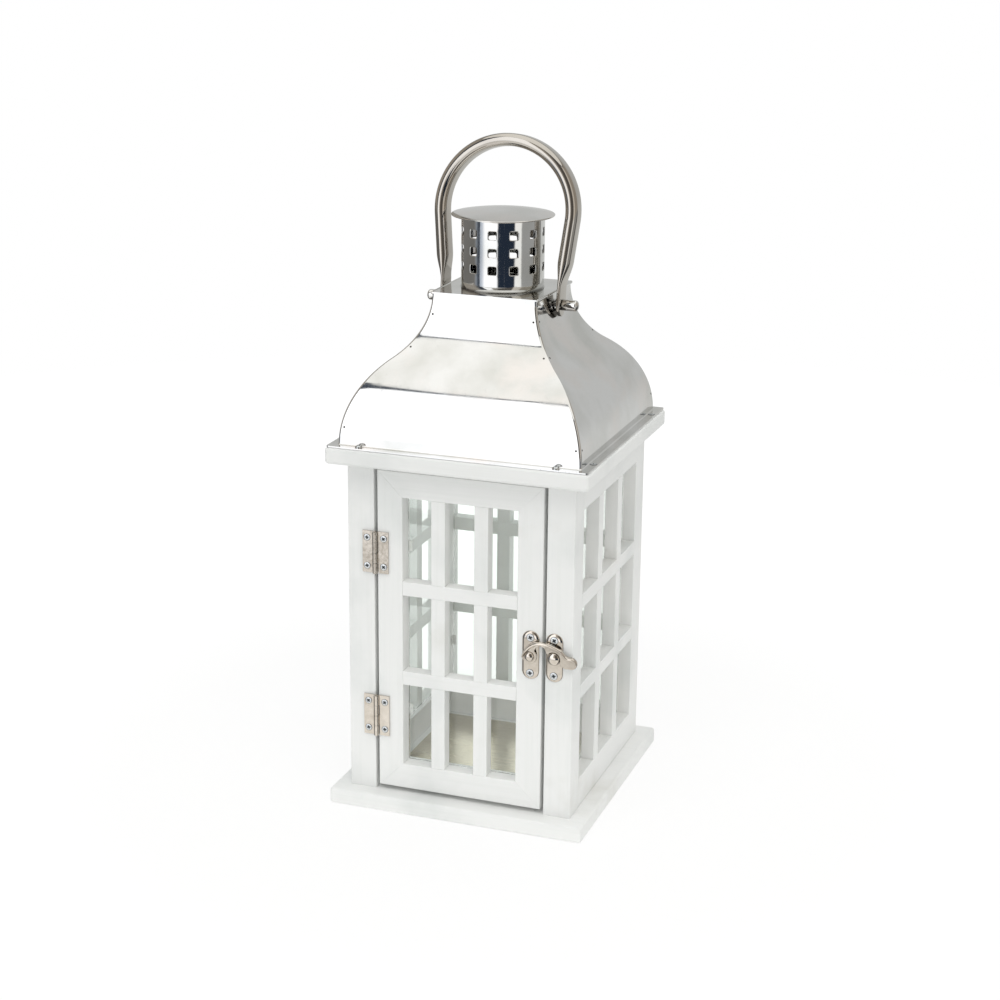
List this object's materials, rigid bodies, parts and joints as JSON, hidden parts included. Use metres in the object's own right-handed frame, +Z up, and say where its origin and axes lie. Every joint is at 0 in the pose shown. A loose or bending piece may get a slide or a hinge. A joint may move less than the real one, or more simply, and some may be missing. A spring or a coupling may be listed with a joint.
{
  "type": "hurricane candle lantern",
  "caption": "Square white wooden candle lantern with glazed lattice sides, a hinged latched door, a polished curved metal roof with a pierced chimney, and a swing handle.",
  "frame": {"origin": "middle of the base board's underside", "axes": "+Z up, the door faces -Y, hinges at -X, latch at +X, the handle turns about X"},
  "size_m": [0.15, 0.15, 0.3735],
  "materials": {
    "white_wood": "white painted, satin",
    "clear_glass": "clear",
    "polished_metal": "mirror polished",
    "plated_metal": "bright plated",
    "screw_steel": "bright",
    "satin_metal": "satin"
  },
  "bodies": {
    "lantern": {"back_bottom_rail": "white_wood", "back_crossbars": "white_wood", "back_glass": "clear_glass", "back_left_post": "white_wood", "back_right_post": "white_wood", "back_top_rail": "white_wood", "back_uprights": "white_wood", "base_board": "white_wood", "base_screws": "screw_steel", "chimney_cap": "polished_metal", "chimney_tube": "polished_metal", "floor_plate": "satin_metal", "front_left_post": "white_wood", "front_right_post": "white_wood", "handle_bolts": "screw_steel", "handle_nuts": "polished_metal", "handle_spacers": "polished_metal", "hinge_post_screws": "screw_steel", "latch_post_plate": "plated_metal", "latch_post_screws": "screw_steel", "left_bottom_rail": "white_wood", "left_crossbars": "white_wood", "left_glass": "clear_glass", "left_top_rail": "white_wood", "left_uprights": "white_wood", "lower_hinge_pin": "screw_steel", "lower_hinge_post_leaf": "plated_metal", "right_bottom_rail": "white_wood", "right_crossbars": "white_wood", "right_glass": "clear_glass", "right_top_rail": "white_wood", "right_uprights": "white_wood", "roof_back_panel": "polished_metal", "roof_front_panel": "polished_metal", "roof_left_panel": "polished_metal", "roof_right_panel": "polished_metal", "roof_screws": "screw_steel", "roof_top_plate": "polished_metal", "side_glass_clips": "plated_metal", "top_board": "white_wood", "top_screws": "screw_steel", "upper_hinge_pin": "screw_steel", "upper_hinge_post_leaf": "plated_metal"},
    "door": {"door_hinge_stile": "white_wood", "door_latch_stile": "white_wood", "door_top_rail": "white_wood", "door_bottom_rail": "white_wood", "door_uprights": "white_wood", "door_crossbars": "white_wood", "door_glass": "clear_glass", "door_glass_clips": "plated_metal", "upper_hinge_door_leaf": "plated_metal", "lower_hinge_door_leaf": "plated_metal", "hinge_door_screws": "screw_steel", "latch_door_plate": "plated_metal", "latch_door_screws": "screw_steel", "latch_rivet": "plated_metal"},
    "latch_arm": {"latch_arm": "plated_metal"},
    "handle": {"handle": "polished_metal"}
  },
  "joints": [
    {"name": "door_hinge", "type": "hinge", "parent": "lantern", "child": "door", "pos_m": [-0.049, -0.0669, 0.1029], "axis": [0, 0, -1], "range_deg": [0, 170]},
    {"name": "latch_pivot", "type": "hinge", "parent": "door", "child": "latch_arm", "pos_m": [0.0416, -0.068, 0.1032], "axis": [0, -1, 0], "range_deg": [0, 100]},
    {"name": "handle_swing", "type": "hinge", "parent": "lantern", "child": "handle", "pos_m": [0, 0, 0.283], "axis": [1, 0, 0], "range_deg": [-77, 93]}
  ]
}
